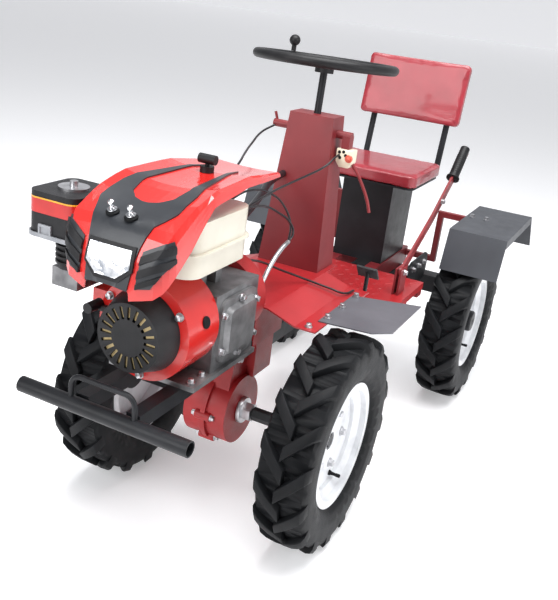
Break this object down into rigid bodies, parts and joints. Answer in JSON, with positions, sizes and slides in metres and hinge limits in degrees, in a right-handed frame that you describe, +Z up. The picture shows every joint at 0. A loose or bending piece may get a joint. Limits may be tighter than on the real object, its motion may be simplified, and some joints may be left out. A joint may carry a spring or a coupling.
{
  "type": "articulated ride-on power tiller",
  "caption": "Ride-on farm machine: a power tiller with engine and lugged wheels in front, joined by a kingpin to a seat, floor and fenders on rear wheels, steered by a wheel.",
  "frame": {"origin": "on the ground, under the middle of the machine's length and width", "axes": "+X forward, +Y to the left, +Z up"},
  "size_m": [2.0688, 0.972, 1.2331],
  "materials": {
    "cast_red": "satin enamel on a casting",
    "engine_alloy": "cast, dull",
    "shroud_red": "gloss enamel",
    "black_plastic": "moulded, fine grain",
    "tank_beige": "gloss enamel",
    "bright_metal": "zinc plated",
    "muffler_dark": "heat-proof matt paint",
    "hood_red": "gloss",
    "hood_black": "semi-gloss",
    "lamp_lens": "clear ribbed lens",
    "black_steel": "satin powder coat",
    "frame_red": "satin powder coat",
    "fender_grey": "satin powder coat",
    "seat_vinyl": "soft grained vinyl",
    "tyre_rubber": "moulded rubber",
    "rim_white": "gloss enamel",
    "grip_black": "moulded, fine grain"
  },
  "bodies": {
    "front_unit": {"gearcase": "cast_red", "engine_block": "engine_alloy", "fan_shroud": "shroud_red", "recoil_cover": "black_plastic", "fuel_tank": "tank_beige", "air_cleaner": "black_plastic", "air_cleaner_cap": "bright_metal", "muffler": "muffler_dark", "hood_shell": "hood_red", "hood_panel": "hood_black", "headlight": "lamp_lens", "hood_vents": "hood_black", "hood_knob": "black_plastic", "engine_bearers": "black_steel", "bumper": "black_steel", "apron": "frame_red", "front_fenders": "fender_grey", "column": "frame_red", "hand_controls": "frame_red", "gear_lever": "bright_metal", "pedal": "black_steel", "drawbar": "black_steel"},
    "rear_unit": {"rear_frame": "frame_red", "floor_plate": "frame_red", "seat_frame": "black_steel", "seat_posts": "black_steel", "seat_cushion": "seat_vinyl", "backrest": "seat_vinyl", "rear_beam": "black_steel", "axle_drops": "black_steel", "rear_fenders": "fender_grey", "fender_brackets": "frame_red", "lift_lever": "frame_red", "lift_bracket": "frame_red", "hitch": "black_steel"},
    "wheel_fl": {"tyre_fl": "tyre_rubber", "rim_fl": "rim_white", "shaft_fl": "bright_metal"},
    "wheel_fr": {"tyre_fr": "tyre_rubber", "rim_fr": "rim_white", "shaft_fr": "bright_metal"},
    "wheel_rl": {"tyre_rl": "tyre_rubber", "rim_rl": "rim_white"},
    "wheel_rr": {"tyre_rr": "tyre_rubber", "rim_rr": "rim_white"},
    "steering": {"steering_wheel": "grip_black", "steering_shaft": "bright_metal"}
  },
  "joints": [
    {"name": "articulation", "type": "hinge", "parent": "front_unit", "child": "rear_unit", "pos_m": [-0.01357, 0, 0.43], "axis": [0, 0, 1], "range_deg": [-30, 30]},
    {"name": "steering_turn", "type": "hinge", "parent": "front_unit", "child": "steering", "pos_m": [0.08281, 0, 1.042], "axis": [-0.0698, 0, 0.9976], "range_deg": [-360, 360]},
    {"name": "wheel_fl_spin", "type": "hinge", "parent": "front_unit", "child": "wheel_fl", "pos_m": [0.45643, 0.3, 0.2875], "axis": [0, 1, 0], "continuous": true},
    {"name": "wheel_fr_spin", "type": "hinge", "parent": "front_unit", "child": "wheel_fr", "pos_m": [0.45643, -0.3, 0.2875], "axis": [0, 1, 0], "continuous": true},
    {"name": "wheel_rl_spin", "type": "hinge", "parent": "rear_unit", "child": "wheel_rl", "pos_m": [-0.66357, 0.35, 0.2875], "axis": [0, 1, 0], "continuous": true},
    {"name": "wheel_rr_spin", "type": "hinge", "parent": "rear_unit", "child": "wheel_rr", "pos_m": [-0.66357, -0.35, 0.2875], "axis": [0, 1, 0], "continuous": true}
  ],
  "couplings": [
    {"joint": "steering_turn", "follows": "articulation", "ratio": -12}
  ]
}
